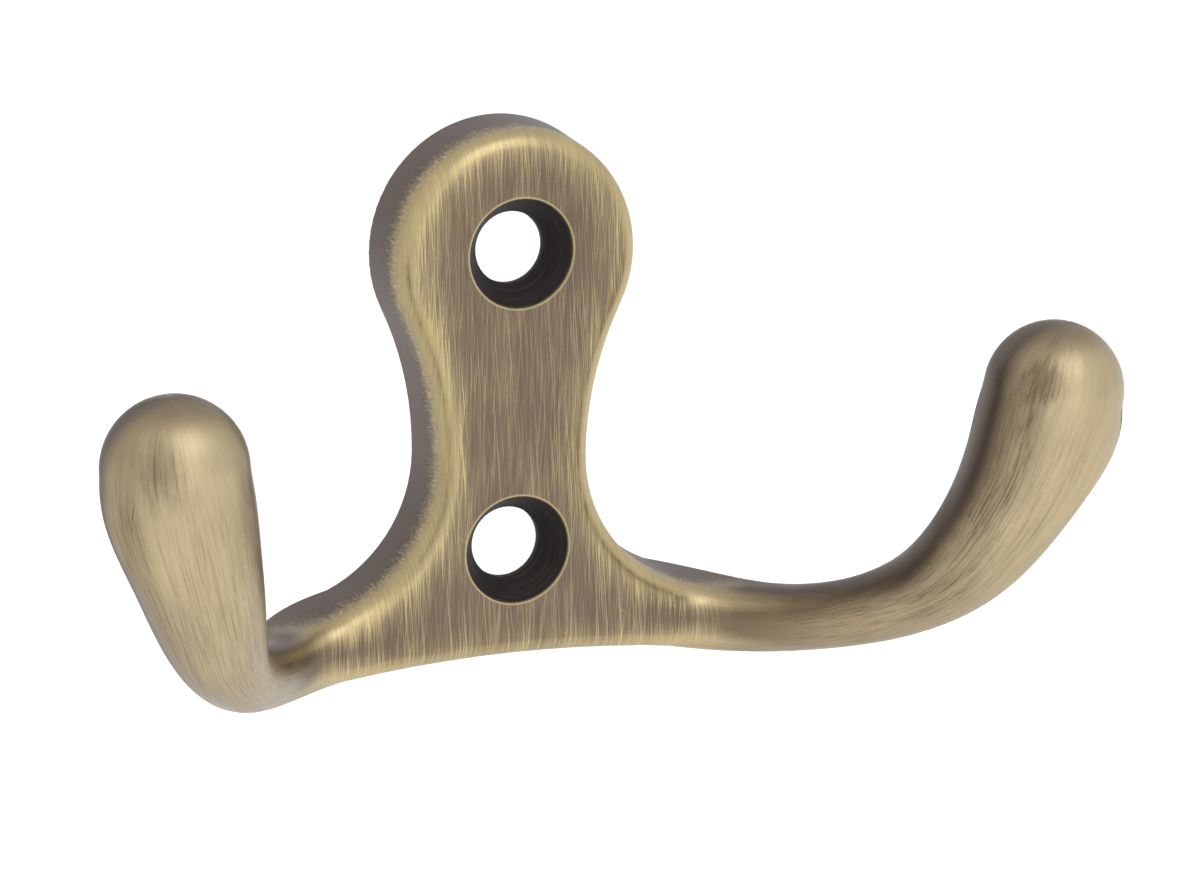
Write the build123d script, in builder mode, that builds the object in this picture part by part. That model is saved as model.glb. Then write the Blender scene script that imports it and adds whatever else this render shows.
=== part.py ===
# Double wall hook: one die-cast piece with a keyhole-shaped back plate and two
# round-ended arms. Millimetres. +X right, +Z up, and the wall is the plane Y = 0,
# so the hook stands out towards -Y. The origin is on the wall, midway between
# the two screw holes.
import os
from math import acos, atan, degrees, radians, sin, tan

from build123d import *

# Back plate, its outline measured at the wall
plate_thickness = 5.3
lobe_radius = 8.72  # rounded head of the plate
lobe_height = 9.65  # centre of the head above the origin
waist_half_width = 5.57  # narrowest part
waist_height = -4.0  # where the plate is narrowest
flare_radius = 9.8  # sweep from the waist into each arm
draft_angle = 4.0  # of the side walls, so that the casting leaves its mould
edge_radius = 1.5  # front edge, all round
back_edge_radius = 0.2  # edge against the wall

# Where each arm leaves the plate
root_x = 11.5
root_bottom = -18.45
arch_rise = 0.72  # of the bottom edge, in the middle

# Countersunk screw holes
hole_spacing = 20.0  # one above the other
head_radius = 3.68  # countersink at the front face
hole_radius = 2.42
hole_land = 0.6  # straight part behind the countersink
front_wall = 2.7  # metal in front of the hollow back
rim_width = 2.0  # solid rim around the hollow back
hollow_half_width = 8.0  # where the hollow ends towards the arms

# Arms: the centre line of the right one, and its section along it
bend_point = (18.6, -7.8, -15.85)  # where the arm points forward
belly_point = (24.95, -17.65, -11.1)
rise_point = (28.2, -22.0, -4.0)
tip_point = (29.9, -23.1, 2.6)  # centre of the domed end
tip_direction = (0.13, -0.11, 0.985)
bend_delay = 1.4  # above 1, the arm bends forward later
neck_taper = 0.29  # by which half the arm's height narrows from the plate
neck_half_width = 2.15
blend_share = 0.3  # over which the plate's section turns into the arm's own
swell_share = 0.35  # where it begins to thicken
tip_radius = 4.55
tip_proud = 0.02  # by which the domed end covers the arm's last section
corner_share = 0.99  # of half the section's width, at its roundest
arm_stations = 7  # sections along an arm
station_bias = 1.15  # above 1, they stand closer together near the plate


def eased(start, end, share):
    """The value at a share of the way from start to end, level at both ends."""
    share = min(max(share, 0), 1)
    return start + (end - start) * share * share * (3 - 2 * share)


def swelled(neck, share):
    """Half the arm's height or width, from its neck to its thick round end."""
    return eased(neck, tip_radius - tip_proud, (share - swell_share) / (1 - swell_share))


def arm_section(share):
    """The rounded section across the arm at a share of its length."""
    taper = max(1 - share / neck_share, 0) ** 2
    neck = neck_half_height + neck_taper * taper
    half_height = swelled(neck, share)
    waist = eased(plate_thickness / 2, neck_half_width, share / blend_share)
    half_width = swelled(waist, share)
    slant = half_width * eased(slant_rate, 0, share / blend_share)
    roundest = corner_share * min(half_height, half_width)
    along = arm_curve % share
    plane = Plane(arm_curve @ share, x_dir=along.cross(Vector(0, 0, 1)), z_dir=along)
    with BuildSketch(plane) as section:
        Polygon(
            (-half_width, half_height + slant),
            (-half_width, -half_height - slant),
            (half_width, slant - half_height),
            (half_width, half_height - slant),
            align=None,
        )
        front_corners = section.vertices().group_by(Axis.X)[-1]
        fillet(front_corners, eased(edge_radius, roundest, share / swell_share))
        back_corners = section.vertices().group_by(Axis.X)[0]
        fillet(back_corners, eased(back_edge_radius, roundest, share / blend_share))
    return section.sketch.face()


# Outline of the plate: head, waist and flare are arcs that touch
plate_reach = lobe_height + lobe_radius
waist_drop = lobe_height - waist_height
waist_radius = (waist_half_width**2 + waist_drop**2 - lobe_radius**2) / (
    2 * (lobe_radius - waist_half_width)
)
lobe_share = lobe_radius / (lobe_radius + waist_radius)
lobe_end = (
    (waist_half_width + waist_radius) * lobe_share,
    lobe_height - waist_drop * lobe_share,
)
waist_end = (waist_half_width, waist_height)
flare_turn = acos(1 - (root_x - waist_half_width) / flare_radius)
root_top = waist_height - flare_radius * sin(flare_turn)

# The arm carries on from the plate: its centre line and its section start level
# with the plate's front, and fall and narrow as the two edges do there
slant_rate = tan(radians(draft_angle))
root_height = (root_top + root_bottom) / 2
root_half_height = (root_top - root_bottom - plate_thickness * slant_rate) / 2
neck_half_height = root_half_height - neck_taper
top_fall = 1 / tan(flare_turn)
bottom_fall = 2 * arch_rise / root_x
root_direction = (1, 0, -(top_fall + bottom_fall) / 2)

countersink_depth = front_wall - hole_land
countersink_angle = 2 * degrees(atan((head_radius - hole_radius) / countersink_depth))

with BuildLine() as arm_line:
    Spline(
        (root_x, -plate_thickness / 2, root_height),
        bend_point,
        belly_point,
        rise_point,
        tip_point,
        tangents=[root_direction, tip_direction],
        tangent_scalars=(bend_delay, 1),
    )
arm_curve = arm_line.edge()
neck_run = 4 * neck_taper / (top_fall - bottom_fall)
neck_share = neck_run / arm_curve.length

with BuildPart() as plate:
    with BuildSketch(Plane.XZ) as plate_outline:
        with BuildLine():
            RadiusArc((0, lobe_height + lobe_radius), lobe_end, lobe_radius)
            RadiusArc(lobe_end, waist_end, -waist_radius)
            RadiusArc(waist_end, (root_x, root_top), -flare_radius)
            Line((root_x, root_top), (root_x, root_bottom))
            mirror(about=Plane.YZ)
            SagittaArc((root_x, root_bottom), (-root_x, root_bottom), -arch_rise)
        make_face()
    extrude(amount=plate_thickness)
    root_faces = plate.faces().filter_by(Axis.X)
    walls = plate.faces().filter_by(Axis.Y, reverse=True) - root_faces
    draft(walls, Plane.XZ, draft_angle)
    root_edges = plate.faces().filter_by(Axis.X).edges()
    front_face = plate.faces().sort_by(Axis.Y)[0]
    fillet(front_face.edges() - root_edges, edge_radius)
    root_edges = plate.faces().filter_by(Axis.X).edges()
    back_face = plate.faces().sort_by(Axis.Y)[-1]
    fillet(back_face.edges() - root_edges, back_edge_radius)
    root_face = plate.faces().filter_by(Axis.X).sort_by(Axis.X)[-1]

with BuildPart() as arm:
    stations = [(i / arm_stations) ** station_bias for i in range(1, arm_stations + 1)]
    loft([root_face] + [arm_section(share) for share in stations])
    with Locations(tip_point):
        Sphere(tip_radius)

with BuildPart() as hook:
    add(plate.part)
    add(arm.part)
    mirror(arm.part, about=Plane.YZ)
    with BuildSketch(Plane.XZ) as hollow_outline:
        offset(plate_outline.sketch_local, amount=-rim_width)
        Rectangle(2 * hollow_half_width, 2 * plate_reach, mode=Mode.INTERSECT)
    extrude(amount=plate_thickness - front_wall, mode=Mode.SUBTRACT)
    with Locations(Plane.XZ.offset(plate_thickness)):
        with GridLocations(0, hole_spacing, 1, 2):
            CounterSinkHole(
                hole_radius,
                head_radius,
                depth=plate_thickness,
                counter_sink_angle=countersink_angle,
            )

hook.part.label = "hook"
os.makedirs("parts", exist_ok=True)
export_step(hook.part, "parts/hook.step")
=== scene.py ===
"""Dresses the cast wall hook: an antique brass finish, a plain studio and a camera.

The finish is brushed and worn bright on the front, and left dark on the sides, in
the countersinks and in the hollow back; painted sheen, highlights, shade and dark
reflections lie in its colour. Lengths are in metres in the hook's own frame: +X
right, +Z up, and the wall is the plane Y = 0, with the hook towards -Y.
"""

from math import cos, pi, radians, sin

import bmesh
import bpy
from bpy.props import FloatProperty, FloatVectorProperty, PointerProperty
from bpy.types import Operator, Panel, PropertyGroup
from mathutils import Matrix, Vector
from mathutils.geometry import interpolate_bezier


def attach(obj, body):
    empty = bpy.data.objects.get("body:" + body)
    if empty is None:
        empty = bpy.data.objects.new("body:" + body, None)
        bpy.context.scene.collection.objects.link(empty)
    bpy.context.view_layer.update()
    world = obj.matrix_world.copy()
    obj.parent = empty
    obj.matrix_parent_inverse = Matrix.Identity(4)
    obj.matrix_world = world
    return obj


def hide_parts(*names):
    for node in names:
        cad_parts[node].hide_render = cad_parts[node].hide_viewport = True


bl_info = {
    "name": "Cast wall hook",
    "version": (1, 0, 0),
    "blender": (4, 5, 0),
    "location": "View3D > Sidebar > Wall hook",
    "description": "Finishes a cast brass wall hook and sets up its studio",
    "category": "Object",
}

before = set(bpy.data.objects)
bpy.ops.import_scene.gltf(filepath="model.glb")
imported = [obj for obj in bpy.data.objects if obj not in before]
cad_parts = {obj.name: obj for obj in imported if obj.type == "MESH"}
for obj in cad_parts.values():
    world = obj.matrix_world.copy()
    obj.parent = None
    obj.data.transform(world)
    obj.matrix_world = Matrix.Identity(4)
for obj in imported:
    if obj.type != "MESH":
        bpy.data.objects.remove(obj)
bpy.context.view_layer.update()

MM = 0.001

# The plate's outline: head, waist and flare are arcs that touch
PLATE_DEPTH = 5.3 * MM
HEAD_RADIUS = 8.72 * MM
HEAD_HEIGHT = 9.65 * MM
WAIST_HALF_WIDTH = 5.57 * MM
WAIST_HEIGHT = -4.0 * MM
FLARE_RADIUS = 9.8 * MM
WAIST_DROP = HEAD_HEIGHT - WAIST_HEIGHT
WAIST_RADIUS = (WAIST_HALF_WIDTH**2 + WAIST_DROP**2 - HEAD_RADIUS**2) / (
    2 * (HEAD_RADIUS - WAIST_HALF_WIDTH)
)
HEAD_END = HEAD_HEIGHT - WAIST_DROP * HEAD_RADIUS / (HEAD_RADIUS + WAIST_RADIUS)
WEAR_BOTTOM = -18.5 * MM  # a little below the bottom edge, which is less worn

# Screw holes, above and below the origin
HOLE_HEIGHT = 10.0 * MM
SINK_RADIUS = 3.68 * MM
SINK_BACK = -2.85 * MM  # behind the countersinks, inside the straight holes
RIM_WIDTH = 0.16 * MM  # of the bright rim round a countersink

# The right arm's centre line, from the plate to the top of its domed end
ARM_ROOT_X = 11.5 * MM
ARM_POINTS = [
    Vector(point) * MM
    for point in (
        (11.5, -2.65, -15.73),
        (18.6, -7.8, -15.85),
        (24.95, -17.65, -11.1),
        (28.2, -22.0, -4.0),
        (29.9, -23.1, 2.6),
        (30.5, -23.6, 7.1),
    )
]
TIP_CENTRE = ARM_POINTS[-2]  # of the domed end
TIP_AHEAD = Vector((0.13, -0.11, 0.985)).normalized()  # where the arm points there
GRAIN_RADIUS = 3.0 * MM  # of the circle on which the arms' grain is laid
# Places along an arm: where its own finish begins and is full, where its end is
# shaded as one round surface, and where the brush lines fade on the dome
ARM_FINISH = (1.0 * MM, 6.0 * MM)
ROUND_END = (31.0 * MM, 35.0 * MM)
DOME_FADE = (30.0 * MM, 41.0 * MM)

# Sets of brush lines that cross a little: the turn of each in degrees, its size, how
# few lines it has, and how strong they are
LINE_SETS = (
    (5.0, 0.6, 0.56, 1.0),
    (-4.0, 0.85, 0.58, 0.8),
    (1.0, 0.45, 0.57, 0.8),
    (-1.5, 1.15, 0.55, 0.8),
)
LINE_SOFTNESS = 0.1  # grey levels over which a line comes up
ARM_LINE_WIDTH = 0.85  # of the plate's line width
ARM_LINE_SPREAD = 0.4  # of the plate's turns
SCRATCH_TURN = radians(55)

# How often each pattern swings in a metre, along the grain and across it, or along X, Y
# and Z
CLOUDS_PER_METRE = (130.0, 420.0, 420.0)
PATCH_RAGS_PER_METRE = (700.0, 3000.0, 3000.0)
SCRATCHES_PER_METRE = (230.0, 9000.0, 1.0)
HAIRS_PER_METRE = (15000.0, 900.0, 15000.0)
WOBBLES_PER_METRE = (150.0, 150.0, 150.0)
RINGS_PER_METRE = 7000.0
RING_WOBBLE = 6.0
# Grey levels of a noise between which its pattern comes up
SCRATCH_LEVELS = (0.62, 0.72)
SCRATCHED_CLOUDS = (0.5, 0.6)
HAIR_LEVELS = (0.44, 0.72)
RING_LEVELS = (0.45, 0.75)

# Wear of the plate, and where its side walls turn darker brown towards the front, as
# pairs of where a mask begins and where it is full. The bands and the middle are
# measured in from the outline, and those of the side walls along Y.
NARROW_BAND = (2.0 * MM, 0.4 * MM)
WIDE_BAND = (3.8 * MM, 0.6 * MM)
MIDDLE = (1.2 * MM, 3.0 * MM)
NEAR_ARM = (7.0 * MM, 13.0 * MM)  # to either side of the screw holes
WALL_WORN = (-PLATE_DEPTH + 2.3 * MM, -PLATE_DEPTH + 0.3 * MM)
WALL_BROWN = (-1.2 * MM, -3.6 * MM)
LINE_REACH = 0.9 * MM  # of a brush line beyond the bands
HAIR_REACH = 1.4 * MM  # of a hair beyond the worn part of a wall

# Places in the arms' grain near the plate: the ridge on top, worn bright and with a painted
# highlight, and the hollow inside the first bend, darkened by painted shade, each round the arm
# and along it
RIDGE_ROUND = (1.1 * MM, 2.2 * MM)
RIDGE_ALONG = (22.0 * MM, 8.0 * MM)
HOLLOW_ROUND = (2.2 * MM, 2.9 * MM)
HOLLOW_ALONG = (17.0 * MM, 5.0 * MM)
SHADED_HOLLOW_BARE = 0.1  # how bare the brass stays under the painted shade in the hollow

# How squarely the surface faces the front, or up for the last two: 1 straight on, 0 side
# on and -1 facing away
LINES_FACING = (0.3, 0.9)
# Plate: where the crest of the rounded edge gets its painted highlight
CREST_FACING = (0.995, 0.93)
CREST_FADING = (0.6, 0.85)
ARM_WORN_FACING = (0.04, 0.38)
# Arms: painted sheen where they face the front, painted shade towards their edges
ARM_SHEEN_AND_SHADE_FACING = (0.3, 1.0)
ARM_BROWN_FACING = (-0.45, 0.05)
ARM_TOP_FACING = (0.98, 0.6)
# Arms: painted shade on their undersides
ARM_UNDERSIDE_SHADE_FACING = (-0.3, -0.9)

# The metal itself
METALLIC = 0.95
ROUGHNESS = 0.46
BUMP_STRENGTH = 0.2
BUMP_HEIGHT = 0.02 * MM

# Dark patches on the front of an arm: on each, the one furthest along, on the domed
# end, is a painted dark reflection, and the others make a dark streak below it. Each
# gives 1 on the right arm and -1 on the left, how far along the arm, the turn round it
# from the side that faces forward where it leaves the plate, half the patch's length and
# width, and last how dark it is. Lengths are in millimetres and turns in degrees.
REFLECTION_AND_STREAK_PATCHES = (
    (1, 39, -10, 1.8, 0.85, 0.7),
    (1, 36, -10, 3.2, 0.5, 0.34),
    (1, 32, -10, 3.8, 0.45, 0.3),
    (1, 29, -5, 3.2, 0.4, 0.26),
    (1, 24, -15, 3.6, 0.4, 0.24),
    (1, 21, -30, 3.2, 0.45, 0.22),
    (-1, 39, -80, 1.6, 0.85, 0.55),
    (-1, 36, -110, 3.2, 0.6, 0.2),
    (-1, 33, -110, 3.6, 0.6, 0.18),
    (-1, 31, -70, 3.6, 0.45, 0.15),
)
# In half lengths or widths: how much a patch's outline wavers, and where the patch
# begins and where it is full
PATCH_RAGGEDNESS = 2.2
PATCH_REACH = (1.9, -0.2)

# The studio: places and sizes of the lights, what they point at, and the floor
KEY_PLACE = (0.06, -0.38, 0.46)
KEY_SIZE = 0.42
FILL_PLACE = (0.05, -0.6, 0.06)
FILL_SIZE = 0.5
LIT_PLACE = (0.0, -0.01, 0.0)
FLOOR_HEIGHT = -0.15
FLOOR_REACH = 2.0
FLOOR_WHITE = 0.9
FLOOR_GLOW = 0.45  # that the camera and reflections see on top of the light it gets
SENSOR_WIDTH = 36.0


class HookFinish(PropertyGroup):
    """Colours and sizes of the hook's antique brass finish."""

    worn_brass: FloatVectorProperty(
        name="Worn brass",
        description="Bare brass on the plate's edges and in the brush lines",
        subtype="COLOR",
        size=3,
        default=(0.53, 0.425, 0.22),
    )
    arm_brass: FloatVectorProperty(
        name="Arm brass",
        description="Paler bare brass on the front of the arms",
        subtype="COLOR",
        size=3,
        default=(0.55, 0.443, 0.272),
    )
    patina: FloatVectorProperty(
        name="Patina",
        description="Darkened plating between the brush lines",
        subtype="COLOR",
        size=3,
        default=(0.15, 0.112, 0.083),
    )
    arm_patina: FloatVectorProperty(
        name="Arm patina",
        description="Darkened plating between the brush lines on the arms",
        subtype="COLOR",
        size=3,
        default=(0.16, 0.12, 0.076),
    )
    side_patina: FloatVectorProperty(
        name="Side patina",
        description="Unbrushed plating on the side walls",
        subtype="COLOR",
        size=3,
        default=(0.125, 0.1, 0.09),
    )
    dark_brown: FloatVectorProperty(
        name="Dark brown",
        description="Dark brown near the worn edge and on the sides and tops of the arms",
        subtype="COLOR",
        size=3,
        default=(0.105, 0.078, 0.06),
    )
    countersink: FloatVectorProperty(
        name="Countersink",
        description="Blackened metal inside the screw holes",
        subtype="COLOR",
        size=3,
        default=(0.042, 0.037, 0.036),
    )
    countersink_ring: FloatVectorProperty(
        name="Countersink rings",
        description="Turned rings in the blackened metal",
        subtype="COLOR",
        size=3,
        default=(0.07, 0.062, 0.056),
    )
    line_width: FloatProperty(
        name="Brush line width",
        description="Typical width of one brush line",
        subtype="DISTANCE",
        unit="LENGTH",
        default=0.055 * MM,
    )
    line_length: FloatProperty(
        name="Brush line length",
        description="Typical length of one brush line",
        subtype="DISTANCE",
        unit="LENGTH",
        default=6.0 * MM,
    )


class HookStudio(PropertyGroup):
    """The camera and the light."""

    azimuth: FloatProperty(
        name="Azimuth",
        description="Turn of the camera round the hook, from straight in front",
        subtype="ANGLE",
        default=radians(-23.91),
    )
    elevation: FloatProperty(
        name="Elevation",
        description="Height of the camera above the horizon",
        subtype="ANGLE",
        default=radians(14.39),
    )
    roll: FloatProperty(
        name="Roll",
        description="Turn of the camera about its line of sight",
        subtype="ANGLE",
        default=radians(1.08),
    )
    distance: FloatProperty(
        name="Distance",
        description="From the camera to the hook's origin",
        subtype="DISTANCE",
        unit="LENGTH",
        default=330.4 * MM,
    )
    side_step: FloatProperty(
        name="Side step",
        description="Of the camera to its right",
        subtype="DISTANCE",
        unit="LENGTH",
        default=7.38 * MM,
    )
    drop: FloatProperty(
        name="Drop",
        description="Of the camera below the hook's origin",
        subtype="DISTANCE",
        unit="LENGTH",
        default=3.54 * MM,
    )
    lens: FloatProperty(
        name="Lens",
        description="Focal length in millimetres on a 36 mm sensor",
        default=149.06,
    )
    key_power: FloatProperty(
        name="Key light",
        description="Power of the large light above, in front",
        subtype="POWER",
        unit="POWER",
        default=0.66,
    )
    fill_power: FloatProperty(
        name="Fill light",
        description="Power of the light low in front",
        subtype="POWER",
        unit="POWER",
        default=0.35,
    )
    ambient: FloatProperty(
        name="Ambient light",
        description="Strength of the pale surroundings",
        default=0.75,
    )


# Shader node helpers


def add_node(tree, kind, label="", **settings):
    """A new node of that kind, with its label and settings."""
    node = tree.nodes.new(kind)
    node.label = label
    for name, value in settings.items():
        setattr(node, name, value)
    return node


def feed(tree, target, source):
    """Gives an input socket a value, or links an output socket to it."""
    if isinstance(source, bpy.types.NodeSocket):
        tree.links.new(source, target)
    else:
        target.default_value = source


def feed_all(tree, targets, sources):
    """Feeds sockets in order, for as many as there are sources."""
    for target, source in zip(targets, sources):
        feed(tree, target, source)


def maths(tree, operation, *values, clamp=False):
    """The output of a Math node."""
    node = add_node(tree, "ShaderNodeMath", operation=operation, use_clamp=clamp)
    feed_all(tree, node.inputs, values)
    return node.outputs[0]


def product(tree, first, *others):
    """All the values multiplied together."""
    for other in others:
        first = maths(tree, "MULTIPLY", first, other)
    return first


def add_up(tree, total, *terms):
    """A total, with each value added to it times its weight."""
    for weight, value in terms:
        total = maths(tree, "MULTIPLY_ADD", value, weight, total)
    return total


def vector_maths(tree, operation, *values, output="Vector"):
    """An output of a Vector Math node."""
    node = add_node(tree, "ShaderNodeVectorMath", operation=operation)
    feed_all(tree, node.inputs, values)
    return node.outputs[output]


def split(tree, vector):
    """The X, Y and Z of a vector."""
    node = add_node(tree, "ShaderNodeSeparateXYZ")
    feed(tree, node.inputs[0], vector)
    return node.outputs


def join(tree, *parts):
    """A vector made of its X, Y and Z, or of the first two."""
    node = add_node(tree, "ShaderNodeCombineXYZ")
    feed_all(tree, node.inputs, parts)
    return node.outputs[0]


def turned(tree, vector, angle):
    """A vector turned about the Z axis."""
    node = add_node(tree, "ShaderNodeVectorRotate", rotation_type="Z_AXIS")
    feed(tree, node.inputs["Vector"], vector)
    feed(tree, node.inputs["Angle"], angle)
    return node.outputs[0]


def attribute(tree, name, output):
    """An output of a mesh attribute."""
    node = add_node(tree, "ShaderNodeAttribute", attribute_name=name)
    return node.outputs[output]


def ramp(tree, value, start, end, low=0.0, high=1.0):
    """A value mapped smoothly from start..end to low..high."""
    node = add_node(tree, "ShaderNodeMapRange", interpolation_type="SMOOTHSTEP")
    for name, source in (
        ("Value", value),
        ("From Min", start),
        ("From Max", end),
        ("To Min", low),
        ("To Max", high),
    ):
        feed(tree, node.inputs[name], source)
    return node.outputs["Result"]


def mix(tree, kind, share, first, second):
    """What goes from first to second, where kind is the type of their sockets."""
    data_type = "FLOAT" if kind == "VALUE" else kind
    node = add_node(tree, "ShaderNodeMix", data_type=data_type)
    feed(tree, node.inputs["Factor"], share)
    for name, source in (("A", first), ("B", second)):
        socket = next(s for s in node.inputs if s.name == name and s.type == kind)
        feed(tree, socket, source)
    return next(s for s in node.outputs if s.type == kind)


def opaque(colour):
    """A colour with its alpha."""
    return (*colour, 1.0)


def noise(tree, vector, scale=1.0, detail=2.0, roughness=0.5):
    """The grey output of a Noise Texture."""
    node = add_node(tree, "ShaderNodeTexNoise")
    feed(tree, node.inputs["Vector"], vector)
    node.inputs["Scale"].default_value = scale
    node.inputs["Detail"].default_value = detail
    node.inputs["Roughness"].default_value = roughness
    return node.outputs[0]


def new_group(name, inputs, outputs):
    """An empty node group, with its input and output nodes."""
    group = bpy.data.node_groups.new(name, "ShaderNodeTree")
    for in_out, sockets in (("INPUT", inputs), ("OUTPUT", outputs)):
        for label, kind in sockets:
            socket_type = f"NodeSocket{kind}"
            group.interface.new_socket(label, in_out=in_out, socket_type=socket_type)
    return group, group.nodes.new("NodeGroupInput"), group.nodes.new("NodeGroupOutput")


def place_group(tree, group, **inputs):
    """A group node in a tree, its inputs given by name."""
    node = add_node(tree, "ShaderNodeGroup", group.name, node_tree=group)
    for name, source in inputs.items():
        feed(tree, node.inputs[name.capitalize()], source)
    return node


def brush_line_group():
    """Thin pale lines along the grain's first axis, and broad clouds."""
    group, entry, leave = new_group(
        "Brush lines",
        [("Grain", "Vector"), ("Width", "Float"), ("Length", "Float"), ("Spread", "Float")],
        [("Lines", "Float"), ("Clouds", "Float")],
    )
    grain = entry.outputs["Grain"]
    across = maths(group, "DIVIDE", 1.0, entry.outputs["Width"])
    along = maths(group, "DIVIDE", 1.0, entry.outputs["Length"])
    stretch = join(group, along, across, across)
    lines = 0.0
    for tilt, size, fewness, strength in LINE_SETS:
        angle = maths(group, "MULTIPLY", entry.outputs["Spread"], radians(tilt))
        scaled = vector_maths(group, "MULTIPLY", turned(group, grain, angle), stretch)
        shifted = vector_maths(group, "ADD", scaled, (tilt, 3.0 * tilt, 0.0))
        layer = noise(group, shifted, scale=size, roughness=0.6)
        layer = ramp(group, layer, fewness, fewness + LINE_SOFTNESS)
        lines = add_up(group, lines, (strength, layer))
    clouds = vector_maths(group, "MULTIPLY", grain, CLOUDS_PER_METRE)
    feed(group, leave.inputs["Lines"], maths(group, "MINIMUM", lines, 1.0))
    feed(group, leave.inputs["Clouds"], noise(group, clouds, detail=3.0, roughness=0.55))
    return group


def plate_edge_group():
    """How far inside the plate's outline a point is, seen from the front."""
    group, entry, leave = new_group(
        "Plate edge", [("Place", "Vector")], [("Distance", "Float")]
    )
    across, _, height = split(group, entry.outputs["Place"])
    side = maths(group, "ABSOLUTE", across)

    def from_centre(centre_x, centre_z):
        """Distance from the centre of one of the outline's arcs."""
        aside = maths(group, "SUBTRACT", side, centre_x)
        up = maths(group, "SUBTRACT", height, centre_z)
        return vector_maths(group, "LENGTH", join(group, aside, up), output="Value")

    head = maths(group, "SUBTRACT", HEAD_RADIUS, from_centre(0.0, HEAD_HEIGHT))
    waist_x = WAIST_HALF_WIDTH + WAIST_RADIUS
    waist = maths(group, "SUBTRACT", from_centre(waist_x, WAIST_HEIGHT), WAIST_RADIUS)
    flare_x = WAIST_HALF_WIDTH + FLARE_RADIUS
    flare = maths(group, "SUBTRACT", from_centre(flare_x, WAIST_HEIGHT), FLARE_RADIUS)
    above = maths(group, "GREATER_THAN", height, HEAD_END)
    below = maths(group, "LESS_THAN", height, WAIST_HEIGHT)
    upper = mix(group, "VALUE", above, waist, head)
    sides = mix(group, "VALUE", below, upper, flare)
    bottom = maths(group, "SUBTRACT", height, WEAR_BOTTOM)
    feed(group, leave.inputs["Distance"], maths(group, "MINIMUM", sides, bottom))
    return group


def reflection_and_streak_group():
    """How dark the patches on the front of each arm are: painted dark reflections on the ends
    and a dark streak below.
    """
    group, entry, leave = new_group(
        "Reflections and streaks", [("Place", "Vector"), ("Grain", "Vector")], [("Dark", "Float")]
    )
    grain = entry.outputs["Grain"]
    sideways = split(group, entry.outputs["Place"])["X"]
    rags = vector_maths(group, "MULTIPLY", grain, PATCH_RAGS_PER_METRE)
    rags = noise(group, rags, detail=4.0, roughness=0.6)
    rags = add_up(group, -PATCH_RAGGEDNESS / 2, (PATCH_RAGGEDNESS, rags))
    darkest = 0.0
    for side, along, degrees_round, length, width, dark in REFLECTION_AND_STREAK_PATCHES:
        around = radians(degrees_round)
        spot = (along * MM, GRAIN_RADIUS * cos(around), GRAIN_RADIUS * sin(around))
        offset = vector_maths(group, "SUBTRACT", grain, spot)
        scale = (1.0 / (length * MM), 1.0 / (width * MM), 1.0 / (width * MM))
        offset = vector_maths(group, "MULTIPLY", offset, scale)
        reached = vector_maths(group, "LENGTH", offset, output="Value")
        reached = maths(group, "ADD", reached, rags)
        patch = ramp(group, reached, *PATCH_REACH, high=dark)
        on_side = maths(group, "GREATER_THAN", product(group, sideways, side), 0.0)
        darkest = maths(group, "MAXIMUM", darkest, product(group, patch, on_side))
    feed(group, leave.inputs["Dark"], darkest)
    return group


def countersink_group():
    """Masks for the screw holes: inside the cone, its worn rim, and turned rings."""
    group, entry, leave = new_group(
        "Countersink",
        [("Place", "Vector")],
        [("Inside", "Float"), ("Rim", "Float"), ("Rings", "Float")],
    )
    across, depth, height = split(group, entry.outputs["Place"])
    height = maths(group, "SUBTRACT", maths(group, "ABSOLUTE", height), HOLE_HEIGHT)
    radius = vector_maths(group, "LENGTH", join(group, across, height), output="Value")
    in_front = ramp(group, depth, SINK_BACK + 0.2 * MM, SINK_BACK)
    inside = ramp(group, radius, SINK_RADIUS - 0.02 * MM, SINK_RADIUS - 0.1 * MM)
    outer = ramp(group, radius, SINK_RADIUS + RIM_WIDTH, SINK_RADIUS + 0.02 * MM)
    rim = maths(group, "SUBTRACT", outer, inside, clamp=True)
    wobble = vector_maths(group, "MULTIPLY", entry.outputs["Place"], WOBBLES_PER_METRE)
    wobble = product(group, noise(group, wobble), RING_WOBBLE)
    rings = join(group, product(group, radius, RINGS_PER_METRE), wobble)
    rings = ramp(group, noise(group, rings, detail=1.0), *RING_LEVELS)
    feed(group, leave.inputs["Inside"], product(group, inside, in_front))
    feed(group, leave.inputs["Rim"], product(group, rim, in_front))
    feed(group, leave.inputs["Rings"], rings)
    return group


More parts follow.
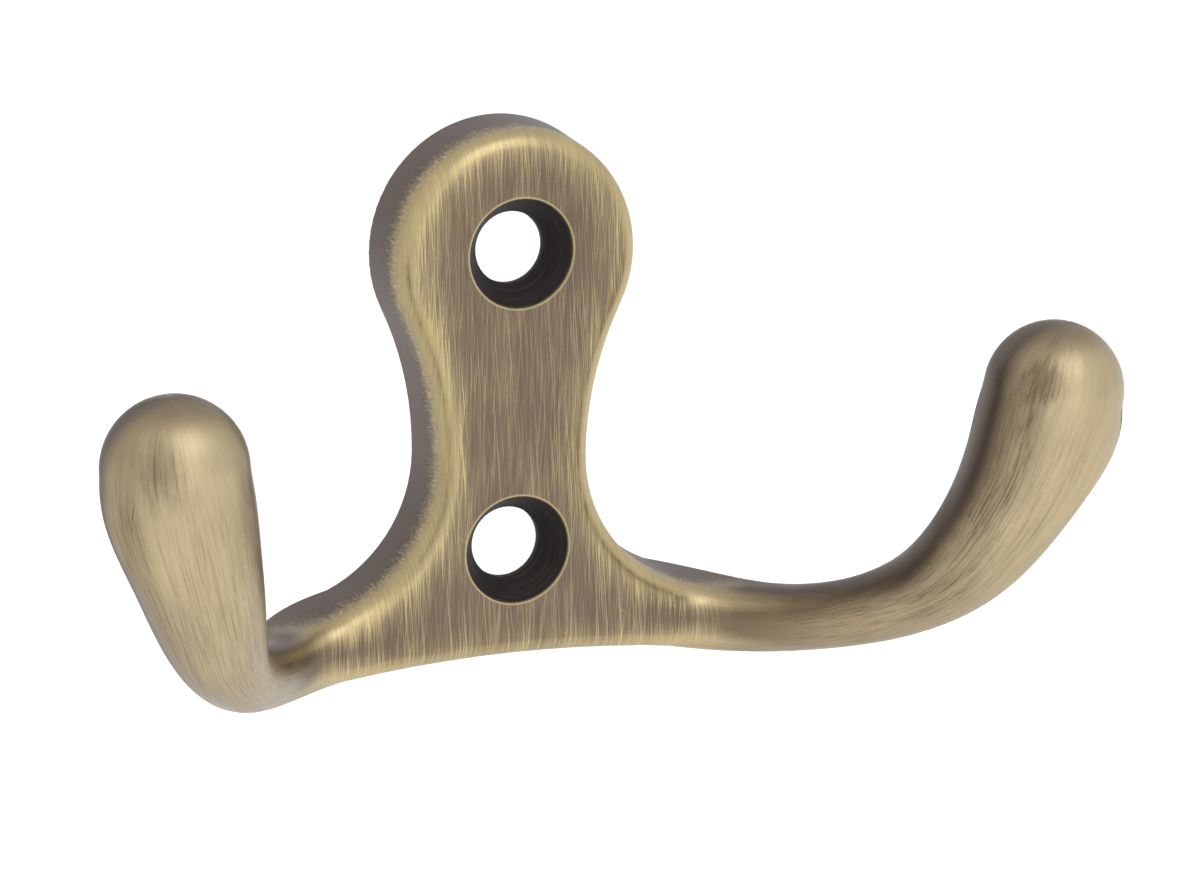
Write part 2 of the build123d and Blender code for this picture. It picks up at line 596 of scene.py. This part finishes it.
def plate_masks(tree, finish, place, facing, lines):
    """Masks for the plate, brushed up and down.

    It is bared most at its edges and least in the middle, with a painted highlight
    along the crest of its rounded edge, and what the brush wore ends in hairs on the
    side walls.
    """
    across, depth, height = split(tree, place)
    front = product(tree, split(tree, facing)["Y"], -1.0)
    grain = join(tree, height, across)
    brushed = place_group(
        tree,
        lines,
        grain=grain,
        width=finish.line_width,
        length=finish.line_length,
        spread=1.0,
    ).outputs

    # A few fine scratches cross the brush lines, in some places only
    scratch = vector_maths(
        tree, "MULTIPLY", turned(tree, grain, SCRATCH_TURN), SCRATCHES_PER_METRE
    )
    scratch = ramp(tree, noise(tree, scratch, roughness=0.6), *SCRATCH_LEVELS)
    scratch = product(tree, scratch, ramp(tree, brushed["Clouds"], *SCRATCHED_CLOUDS))

    # Lines are weaker on the rounded edge, and reach inwards from its bare bands
    distance = place_group(tree, plate_edge_group(), place=place).outputs["Distance"]
    line = product(tree, brushed["Lines"], ramp(tree, front, *LINES_FACING, low=0.15))
    ragged = add_up(tree, distance, (-LINE_REACH, line))
    narrow_band = ramp(tree, ragged, *NARROW_BAND)
    wide_band = ramp(tree, ragged, *WIDE_BAND)

    # The crest of the rounded edge is worn and smoother, and painted lighter as a
    # painted highlight; the front is less bare next to the arms
    crest = ramp(tree, front, *CREST_FACING)
    crest = product(tree, crest, ramp(tree, front, *CREST_FADING))
    near_arm = ramp(tree, maths(tree, "ABSOLUTE", across), *NEAR_ARM)
    near_arm = product(tree, near_arm, ramp(tree, distance, *MIDDLE))
    cloud = maths(tree, "SUBTRACT", brushed["Clouds"], 0.5)
    bared_and_lit = add_up(
        tree,
        0.0,
        (0.48, narrow_band),
        (0.25, wide_band),
        (0.4, line),
        (0.16, crest),
        (0.3, scratch),
        (-0.3, near_arm),
        (0.6, cloud),
    )

    hairs = vector_maths(tree, "MULTIPLY", place, HAIRS_PER_METRE)
    hairs = ramp(tree, noise(tree, hairs, detail=4.0, roughness=0.65), *HAIR_LEVELS)
    reach = add_up(tree, depth, (-HAIR_REACH, hairs))
    return {
        "worn": ramp(tree, reach, *WALL_WORN),
        "bared_and_lit": bared_and_lit,
        "inner": ramp(tree, depth, *WALL_BROWN, high=0.65),
        "lines": brushed["Lines"],
        "rougher": product(tree, crest, -0.096),
    }


def arm_masks(tree, finish, place, facing, lines):
    """Masks for the arms, brushed along their length.

    They are worn bright in front, and stay dark inside the bend and on top of the ends.
    Painted shade darkens their edges, their undersides and the hollow next to the plate;
    a painted sheen lies in front, a painted highlight on the ridge and painted dark
    reflections on the ends.
    """
    grain = attribute(tree, "arm_grain", "Vector")
    along, in_hollow, on_ridge = split(tree, grain)
    sideways, back, up = split(tree, facing)
    brushed = place_group(
        tree,
        lines,
        grain=grain,
        width=finish.line_width * ARM_LINE_WIDTH,
        length=finish.line_length,
        spread=ARM_LINE_SPREAD,
    ).outputs
    streak = brushed["Lines"]
    cloud = maths(tree, "SUBTRACT", brushed["Clouds"], 0.5)

    # How far the surface faces the front, and a little outwards
    outward = product(tree, sideways, maths(tree, "SIGN", split(tree, place)["X"]))
    front = product(tree, back, -1.0)
    front = add_up(tree, front, (0.09, outward), (0.25, cloud), (0.06, streak))
    topless = ramp(tree, add_up(tree, up, (0.4, cloud)), *ARM_TOP_FACING, low=0.5)

    # Painted dark reflections on the domed ends, and dark streaks below them
    reflections_and_streaks = place_group(tree, reflection_and_streak_group(), place=place, grain=grain).outputs["Dark"]
    reflections_and_streaks = product(tree, reflections_and_streaks, add_up(tree, 0.75, (0.5, streak)))
    # The ridge is worn bright and has a painted highlight
    ridge = ramp(tree, on_ridge, *RIDGE_ROUND)
    ridge = product(tree, ridge, ramp(tree, along, *RIDGE_ALONG))
    # Bare brass and patina, with painted sheen in front, painted shade at the edges and
    # underneath, the ridge's painted highlight and painted dark reflections
    bared_and_lit = add_up(
        tree,
        ramp(tree, front, *ARM_SHEEN_AND_SHADE_FACING, low=0.42, high=0.86),
        (-1.0, product(tree, streak, ramp(tree, along, *DOME_FADE, low=0.35, high=0.08))),
        (-0.13, ramp(tree, up, *ARM_UNDERSIDE_SHADE_FACING)),
        (0.75, cloud),
        (-1.0, reflections_and_streaks),
        (0.42, ridge),
    )
    # Painted shade darkens the hollow inside the first bend
    hollow_shade = ramp(tree, in_hollow, *HOLLOW_ROUND)
    hollow_shade = product(tree, hollow_shade, ramp(tree, along, *HOLLOW_ALONG))
    return {
        "worn": product(tree, ramp(tree, front, *ARM_WORN_FACING), topless),
        "bared_and_lit": mix(tree, "VALUE", hollow_shade, bared_and_lit, SHADED_HOLLOW_BARE),
        "inner": ramp(tree, front, *ARM_BROWN_FACING),
        "lines": streak,
        "rougher": product(tree, cloud, 0.5),
    }


def hook_colour(tree, finish, on_arm, masks, sink):
    """Brass and patina over the unbrushed plating, and black countersinks."""
    brass = mix(tree, "RGBA", on_arm, opaque(finish.worn_brass), opaque(finish.arm_brass))
    patina = mix(tree, "RGBA", on_arm, opaque(finish.patina), opaque(finish.arm_patina))
    plating = mix(
        tree,
        "RGBA",
        masks["inner"],
        opaque(finish.side_patina),
        opaque(finish.dark_brown),
    )
    # The brass shows by wear, and by painted sheen, highlights, shade and dark reflections
    brushed = mix(tree, "RGBA", masks["bared_and_lit"], patina, brass)
    colour = mix(tree, "RGBA", masks["worn"], plating, brushed)
    colour = mix(tree, "RGBA", product(tree, sink["Rim"], 0.7), colour, brass)
    black = mix(
        tree,
        "RGBA",
        sink["Rings"],
        opaque(finish.countersink),
        opaque(finish.countersink_ring),
    )
    return mix(tree, "RGBA", sink["Inside"], colour, black)


def brass_material(finish):
    """Antique brass: brushed and worn in front, dark where the brush didn't reach, with painted
    sheen, highlights, shade and dark reflections.
    """
    material = bpy.data.materials.new("antique_brass")
    material.use_nodes = True
    tree = material.node_tree
    tree.nodes.clear()
    output = add_node(tree, "ShaderNodeOutputMaterial")
    metal = add_node(tree, "ShaderNodeBsdfPrincipled", "Brass")
    tree.links.new(metal.outputs[0], output.inputs["Surface"])

    # The domed end and the end of its arm are shaded as one round surface
    coordinates = add_node(tree, "ShaderNodeTexCoord").outputs
    round_share = attribute(tree, "round_share", "Fac")
    round_normal = attribute(tree, "round_normal", "Vector")
    facing = mix(tree, "VECTOR", round_share, coordinates["Normal"], round_normal)
    facing = vector_maths(tree, "NORMALIZE", facing)

    place = coordinates["Object"]
    lines = brush_line_group()
    plate = plate_masks(tree, finish, place, facing, lines)
    arm = arm_masks(tree, finish, place, facing, lines)
    on_arm = attribute(tree, "arm_share", "Fac")
    masks = {name: mix(tree, "VALUE", on_arm, plate[name], arm[name]) for name in plate}
    sink = place_group(tree, countersink_group(), place=place).outputs

    colour = hook_colour(tree, finish, on_arm, masks, sink)
    roughness = add_up(
        tree,
        ROUGHNESS,
        (-0.08, masks["worn"]),
        (1.0, masks["rougher"]),
        (0.3, sink["Inside"]),
    )
    height = product(tree, masks["lines"], masks["worn"])
    height = add_up(tree, height, (0.2, product(tree, sink["Rings"], sink["Inside"])))
    outward = add_node(
        tree,
        "ShaderNodeVectorTransform",
        vector_type="NORMAL",
        convert_from="OBJECT",
        convert_to="WORLD",
    )
    feed(tree, outward.inputs[0], facing)
    bump = add_node(tree, "ShaderNodeBump")
    bump.inputs["Strength"].default_value = BUMP_STRENGTH
    bump.inputs["Distance"].default_value = BUMP_HEIGHT
    feed(tree, bump.inputs["Height"], height)
    feed(tree, bump.inputs["Normal"], outward.outputs[0])
    feed(tree, metal.inputs["Base Color"], colour)
    feed(tree, metal.inputs["Roughness"], roughness)
    feed(tree, metal.inputs["Normal"], bump.outputs[0])
    metal.inputs["Metallic"].default_value = METALLIC
    return material


# What the finish needs to know of the mesh


def smooth_line(points, steps=24):
    """Close points along a smooth line through the given ones."""
    closed = [2 * points[0] - points[1], *points, 2 * points[-1] - points[-2]]
    line = []
    for before, start, end, after in zip(closed, closed[1:], closed[2:], closed[3:]):
        first_handle = start + (end - before) / 6
        second_handle = end - (after - start) / 6
        line += interpolate_bezier(start, first_handle, second_handle, end, steps)[:-1]
    return line + [points[-1]]


def on_right(point):
    """The same place on the right half of the hook."""
    return Vector((abs(point.x), point.y, point.z))


def share_of_way(value, start, end):
    """How far a value has come from start to end, from 0 to 1."""
    return min(max((value - start) / (end - start), 0.0), 1.0)


def store(mesh, name, kind, values):
    """Adds an attribute with a value for each point."""
    field = "vector" if kind == "FLOAT_VECTOR" else "value"
    mesh.attributes.new(name, kind, "POINT").data.foreach_set(field, values)


def add_arm_grain(mesh):
    """Stores where each point lies on its arm: along it, and round it as a circle."""
    line = smooth_line(ARM_POINTS)
    lengths, frames = [0.0], []
    top = Vector((0.0, 0.0, 1.0))
    for start, end in zip(line, line[1:]):
        lengths.append(lengths[-1] + (end - start).length)
        ahead = (end - start).normalized()
        top = (top - ahead * top.dot(ahead)).normalized()
        frames.append((ahead, ahead.cross(top), top))
    frames.append(frames[-1])
    grain, share = [], []
    for vertex in mesh.vertices:
        spot = on_right(vertex.co)
        nearest = min(range(len(line)), key=lambda i: (line[i] - spot).length_squared)
        ahead, side, up = frames[nearest]
        offset = spot - line[nearest]
        along = lengths[nearest] + offset.dot(ahead)
        around = Vector((offset.dot(side), offset.dot(up))).normalized() * GRAIN_RADIUS
        grain += (along, around.x, around.y)
        share.append(share_of_way(along, *ARM_FINISH) if spot.x > ARM_ROOT_X else 0.0)
    store(mesh, "arm_grain", "FLOAT_VECTOR", grain)
    store(mesh, "arm_share", "FLOAT", share)


def add_round_normals(mesh):
    """Stores the direction outwards round the end of each arm, and where it holds."""
    places = mesh.attributes["arm_grain"].data
    outwards, shares = [], []
    for vertex in mesh.vertices:
        shares.append(share_of_way(places[vertex.index].vector.x, *ROUND_END))
        offset = on_right(vertex.co) - TIP_CENTRE
        offset -= TIP_AHEAD * min(offset.dot(TIP_AHEAD), 0.0)
        offset.normalize()
        outwards += (offset.x if vertex.co.x > 0 else -offset.x, offset.y, offset.z)
    store(mesh, "round_normal", "FLOAT_VECTOR", outwards)
    store(mesh, "round_share", "FLOAT", shares)


class WALLHOOK_OT_casting(Operator):
    """Finish the cast hook in antique brass"""

    bl_idname = "wallhook.casting"
    bl_label = "Hook casting"

    def execute(self, context):
        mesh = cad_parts["hook"].data.copy()
        casting = bpy.data.objects.new("hook_casting", mesh)
        context.scene.collection.objects.link(casting)
        add_arm_grain(mesh)
        add_round_normals(mesh)
        mesh.materials.clear()
        mesh.materials.append(brass_material(context.scene.hook_finish))
        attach(casting, "root")
        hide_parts("hook")
        return {"FINISHED"}


def add_area_light(context, name, place, size, power):
    """A square soft light that points at the hook."""
    light = bpy.data.lights.new(name, "AREA")
    light.size = size
    light.energy = power
    item = bpy.data.objects.new(name, light)
    context.scene.collection.objects.link(item)
    item.location = place
    item.rotation_euler = (Vector(LIT_PLACE) - item.location).to_track_quat("-Z", "Y").to_euler()


def add_camera(context, studio):
    """The photograph's own view."""
    camera = bpy.data.cameras.new("Camera")
    camera.sensor_width = SENSOR_WIDTH
    camera.lens = studio.lens
    camera.clip_start = 10.0 * MM
    item = bpy.data.objects.new("Camera", camera)
    context.scene.collection.objects.link(item)
    turn = (
        Matrix.Rotation(studio.azimuth, 3, "Z")
        @ Matrix.Rotation(pi / 2 - studio.elevation, 3, "X")
        @ Matrix.Rotation(studio.roll, 3, "Z")
    )
    item.location = turn @ Vector((studio.side_step, -studio.drop, studio.distance))
    item.rotation_euler = turn.to_euler()
    context.scene.camera = item


def seen_directly(tree):
    """1 for what the camera sees, also in metal or through glass."""
    path = add_node(tree, "ShaderNodeLightPath").outputs
    mirrored = maths(tree, "MAXIMUM", path["Is Glossy Ray"], path["Is Transmission Ray"])
    return maths(tree, "MAXIMUM", path["Is Camera Ray"], mirrored)


def add_surroundings(context, studio):
    """White all round for the camera and reflections, and softer as light."""
    world = bpy.data.worlds.new("Surroundings")
    world.use_nodes = True
    tree = world.node_tree
    background = tree.nodes["Background"]
    background.inputs["Color"].default_value = (1.0, 1.0, 1.0, 1.0)
    strength = ramp(tree, seen_directly(tree), 0.0, 1.0, low=studio.ambient)
    feed(tree, background.inputs["Strength"], strength)
    context.scene.world = world


def white_floor_material():
    """Matt white that looks white to the camera and still keeps a shadow."""
    material = bpy.data.materials.new("floor_white")
    material.use_nodes = True
    tree = material.node_tree
    paper = tree.nodes["Principled BSDF"]
    paper.inputs["Base Color"].default_value = opaque((FLOOR_WHITE,) * 3)
    paper.inputs["Roughness"].default_value = 0.9
    glow = add_node(tree, "ShaderNodeEmission")
    feed(tree, glow.inputs["Strength"], product(tree, seen_directly(tree), FLOOR_GLOW))
    both = add_node(tree, "ShaderNodeAddShader")
    feed_all(tree, both.inputs, (paper.outputs[0], glow.outputs[0]))
    feed(tree, tree.nodes["Material Output"].inputs["Surface"], both.outputs[0])
    return material


def add_floor(context):
    """A white floor below the hook, which hangs in front of it."""
    sheet = bmesh.new()
    bmesh.ops.create_grid(sheet, x_segments=1, y_segments=1, size=FLOOR_REACH)
    bmesh.ops.translate(sheet, vec=(0.0, 0.0, FLOOR_HEIGHT), verts=sheet.verts)
    mesh = bpy.data.meshes.new("floor")
    sheet.to_mesh(mesh)
    sheet.free()
    mesh.materials.append(white_floor_material())
    floor = bpy.data.objects.new("floor", mesh)
    context.scene.collection.objects.link(floor)


class WALLHOOK_OT_studio(Operator):
    """Add the camera, the lights and the pale floor"""

    bl_idname = "wallhook.studio"
    bl_label = "Studio"

    def execute(self, context):
        studio = context.scene.hook_studio
        add_camera(context, studio)
        add_area_light(context, "Key", KEY_PLACE, KEY_SIZE, studio.key_power)
        add_area_light(context, "Fill", FILL_PLACE, FILL_SIZE, studio.fill_power)
        add_surroundings(context, studio)
        add_floor(context)
        context.scene.view_settings.view_transform = "Standard"
        return {"FINISHED"}


class WALLHOOK_PT_panel(Panel):
    """Lists what the add-on makes, with its sizes and colours"""

    bl_label = "Wall hook"
    bl_idname = "WALLHOOK_PT_panel"
    bl_space_type = "VIEW_3D"
    bl_region_type = "UI"
    bl_category = "Wall hook"

    def draw(self, context):
        for group in (context.scene.hook_finish, context.scene.hook_studio):
            box = self.layout.box()
            for name in group.__annotations__:
                box.prop(group, name)
        self.layout.operator("wallhook.casting")
        self.layout.operator("wallhook.studio")


CLASSES = (
    HookFinish,
    HookStudio,
    WALLHOOK_OT_casting,
    WALLHOOK_OT_studio,
    WALLHOOK_PT_panel,
)


def register():
    for item in CLASSES:
        bpy.utils.register_class(item)
    bpy.types.Scene.hook_finish = PointerProperty(type=HookFinish)
    bpy.types.Scene.hook_studio = PointerProperty(type=HookStudio)


def unregister():
    del bpy.types.Scene.hook_studio
    del bpy.types.Scene.hook_finish
    for item in reversed(CLASSES):
        bpy.utils.unregister_class(item)


def main():
    register()
    bpy.ops.wallhook.studio()
    bpy.ops.wallhook.casting()


if __name__ == "__main__":
    main()
